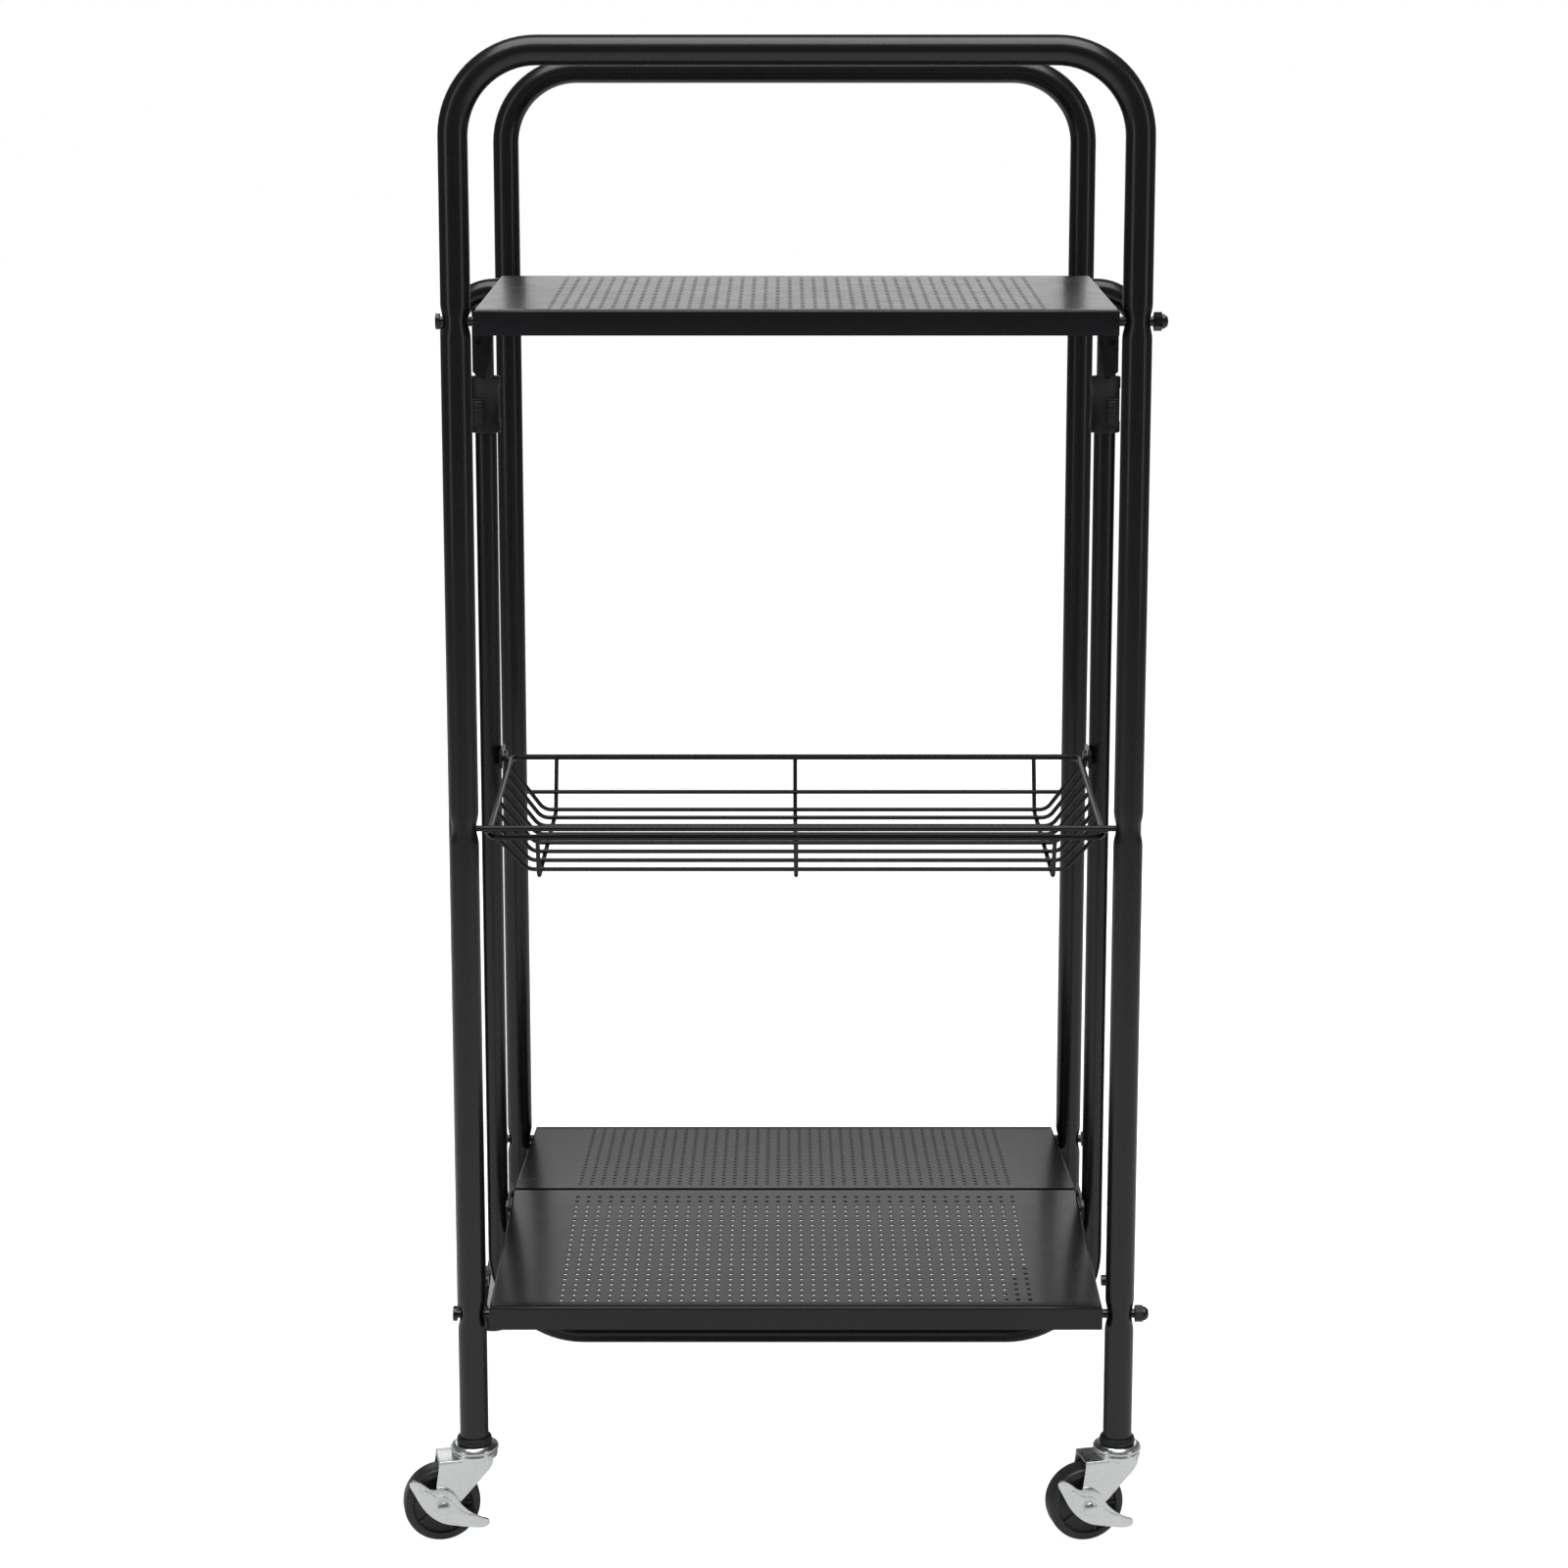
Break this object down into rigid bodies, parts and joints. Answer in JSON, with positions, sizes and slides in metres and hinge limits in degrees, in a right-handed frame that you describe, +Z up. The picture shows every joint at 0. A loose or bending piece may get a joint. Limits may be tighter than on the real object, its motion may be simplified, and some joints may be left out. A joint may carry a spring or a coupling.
{
  "type": "rolling utility cart",
  "caption": "Folding rolling cart: tube end frames on swivel casters, bi-fold perforated steel shelves, a wire basket and a lift loop that folds it flat.",
  "frame": {"origin": "centre of the overall box, on the floor that the wheels stand on", "axes": "+Z up, +X to the right as seen from the front, -Y towards the front"},
  "size_m": [0.509, 0.409, 0.9882],
  "materials": {
    "black_steel": "satin black powder coat on steel tube, plates and rods",
    "shelf_steel": "smooth satin black powder coat on perforated sheet",
    "black_wire": "satin black powder coat on wire",
    "black_plastic": "moulded black plastic, fine grain",
    "wheel_plastic": "hard black wheel plastic, slightly worn tread",
    "zinc_plate": "bright zinc plate on pressed steel"
  },
  "bodies": {
    "front_frame": {"front_frame_tube": "black_steel", "front_top_pivot_rod": "black_steel", "front_top_cap_nut": "black_steel", "front_bottom_pivot_rod": "black_steel", "front_bottom_cap_nut": "black_steel", "stem_socket_front_left": "black_plastic", "caster_stem_front_left": "zinc_plate", "stem_socket_front_right": "black_plastic", "caster_stem_front_right": "zinc_plate"},
    "rear_frame": {"rear_frame_tube": "black_steel", "rear_top_pivot_rod": "black_steel", "rear_top_cap_nut": "black_steel", "rear_bottom_pivot_rod": "black_steel", "rear_bottom_cap_nut": "black_steel", "stem_socket_rear_left": "black_plastic", "caster_stem_rear_left": "zinc_plate", "stem_socket_rear_right": "black_plastic", "caster_stem_rear_right": "zinc_plate"},
    "centre_frame": {"lift_loop": "black_steel", "slim_u_tube": "black_steel", "loop_plug_left": "black_plastic", "link_stub_left": "black_steel", "top_bracket_left": "black_steel", "bottom_bracket_left": "black_steel", "tube_sleeve_left": "black_plastic", "basket_lug_left": "black_steel", "loop_plug_right": "black_plastic", "link_stub_right": "black_steel", "top_bracket_right": "black_steel", "bottom_bracket_right": "black_steel", "tube_sleeve_right": "black_plastic", "basket_lug_right": "black_steel"},
    "top_front_half": {"top_shelf_front": "shelf_steel"},
    "top_rear_half": {"top_shelf_rear": "shelf_steel"},
    "bottom_front_half": {"bottom_shelf_front": "shelf_steel"},
    "bottom_rear_half": {"bottom_shelf_rear": "shelf_steel"},
    "basket": {"wire_basket": "black_wire"},
    "swivel_front_left": {"caster_fork_front_left": "zinc_plate", "axle_bolt_front_left": "zinc_plate"},
    "roller_front_left": {"wheel_front_left": "wheel_plastic"},
    "brake_left": {"brake_lever_front_left": "zinc_plate"},
    "swivel_front_right": {"caster_fork_front_right": "zinc_plate", "axle_bolt_front_right": "zinc_plate"},
    "roller_front_right": {"wheel_front_right": "wheel_plastic"},
    "brake_right": {"brake_lever_front_right": "zinc_plate"},
    "swivel_rear_left": {"caster_fork_rear_left": "zinc_plate", "axle_bolt_rear_left": "zinc_plate"},
    "roller_rear_left": {"wheel_rear_left": "wheel_plastic"},
    "swivel_rear_right": {"caster_fork_rear_right": "zinc_plate", "axle_bolt_rear_right": "zinc_plate"},
    "roller_rear_right": {"wheel_rear_right": "wheel_plastic"},
    "button_left": {"release_button_left": "black_plastic"},
    "button_right": {"release_button_right": "black_plastic"}
  },
  "joints": [
    {"name": "fold", "type": "hinge", "parent": "front_frame", "child": "top_front_half", "pos_m": [0.0087, -0.18145, 0.81065], "axis": [1, 0, 0], "range_deg": [0, 77]},
    {"name": "centre_hinge", "type": "hinge", "parent": "top_front_half", "child": "centre_frame", "pos_m": [0.0087, -0.01245, 0.82395], "axis": [-1, 0, 0], "range_deg": [0, 77]},
    {"name": "top_rear_fold", "type": "hinge", "parent": "centre_frame", "child": "top_rear_half", "pos_m": [0.0087, 0.01955, 0.82395], "axis": [-1, 0, 0], "range_deg": [0, 77]},
    {"name": "rear_frame_hinge", "type": "hinge", "parent": "top_rear_half", "child": "rear_frame", "pos_m": [0.0087, 0.18855, 0.81065], "axis": [1, 0, 0], "range_deg": [0, 77]},
    {"name": "bottom_front_hinge", "type": "hinge", "parent": "front_frame", "child": "bottom_front_half", "pos_m": [0.0087, -0.18145, 0.15465], "axis": [1, 0, 0], "range_deg": [0, 77]},
    {"name": "bottom_rear_fold", "type": "hinge", "parent": "centre_frame", "child": "bottom_rear_half", "pos_m": [0.0087, 0.01955, 0.16795], "axis": [-1, 0, 0], "range_deg": [0, 77]},
    {"name": "basket_hinge", "type": "hinge", "parent": "front_frame", "child": "basket", "pos_m": [0.0087, -0.18145, 0.484], "axis": [1, 0, 0], "range_deg": [0, 77]},
    {"name": "swivel_front_left", "type": "hinge", "parent": "front_frame", "child": "swivel_front_left", "pos_m": [-0.2063, -0.18145, 0.058], "axis": [0, 0, 1], "continuous": true},
    {"name": "roll_front_left", "type": "hinge", "parent": "swivel_front_left", "child": "roller_front_left", "pos_m": [-0.22831, -0.18613, 0.0255], "axis": [-0.2079, 0.9781, 0], "continuous": true},
    {"name": "brake_left", "type": "hinge", "parent": "swivel_front_left", "child": "brake_left", "pos_m": [-0.22831, -0.18613, 0.0255], "axis": [0.2079, -0.9781, 0], "range_deg": [0, 25]},
    {"name": "swivel_front_right", "type": "hinge", "parent": "front_frame", "child": "swivel_front_right", "pos_m": [0.2237, -0.18145, 0.058], "axis": [0, 0, 1], "continuous": true},
    {"name": "roll_front_right", "type": "hinge", "parent": "swivel_front_right", "child": "roller_front_right", "pos_m": [0.20169, -0.18613, 0.0255], "axis": [-0.2079, 0.9781, 0], "continuous": true},
    {"name": "brake_right", "type": "hinge", "parent": "swivel_front_right", "child": "brake_right", "pos_m": [0.20169, -0.18613, 0.0255], "axis": [0.2079, -0.9781, 0], "range_deg": [0, 25]},
    {"name": "swivel_rear_left", "type": "hinge", "parent": "rear_frame", "child": "swivel_rear_left", "pos_m": [-0.2063, 0.18855, 0.058], "axis": [0, 0, 1], "continuous": true},
    {"name": "roll_rear_left", "type": "hinge", "parent": "swivel_rear_left", "child": "roller_rear_left", "pos_m": [-0.22831, 0.18387, 0.0255], "axis": [-0.2079, 0.9781, 0], "continuous": true},
    {"name": "swivel_rear_right", "type": "hinge", "parent": "rear_frame", "child": "swivel_rear_right", "pos_m": [0.2237, 0.18855, 0.058], "axis": [0, 0, 1], "continuous": true},
    {"name": "roll_rear_right", "type": "hinge", "parent": "swivel_rear_right", "child": "roller_rear_right", "pos_m": [0.20169, 0.18387, 0.0255], "axis": [-0.2079, 0.9781, 0], "continuous": true},
    {"name": "button_left", "type": "slide", "parent": "centre_frame", "child": "button_left", "axis": [0, 1, 0], "range_m": [0, 0.0022], "stiffness_N_per_m": 300, "springref_m": -0.001},
    {"name": "button_right", "type": "slide", "parent": "centre_frame", "child": "button_right", "axis": [0, 1, 0], "range_m": [0, 0.0022], "stiffness_N_per_m": 300, "springref_m": -0.001}
  ],
  "couplings": [
    {"joint": "centre_hinge", "follows": "fold", "ratio": 1},
    {"joint": "top_rear_fold", "follows": "fold", "ratio": 1},
    {"joint": "rear_frame_hinge", "follows": "fold", "ratio": 1},
    {"joint": "bottom_front_hinge", "follows": "fold", "ratio": 1},
    {"joint": "bottom_rear_fold", "follows": "fold", "ratio": 1},
    {"joint": "basket_hinge", "follows": "fold", "ratio": 1}
  ]
}
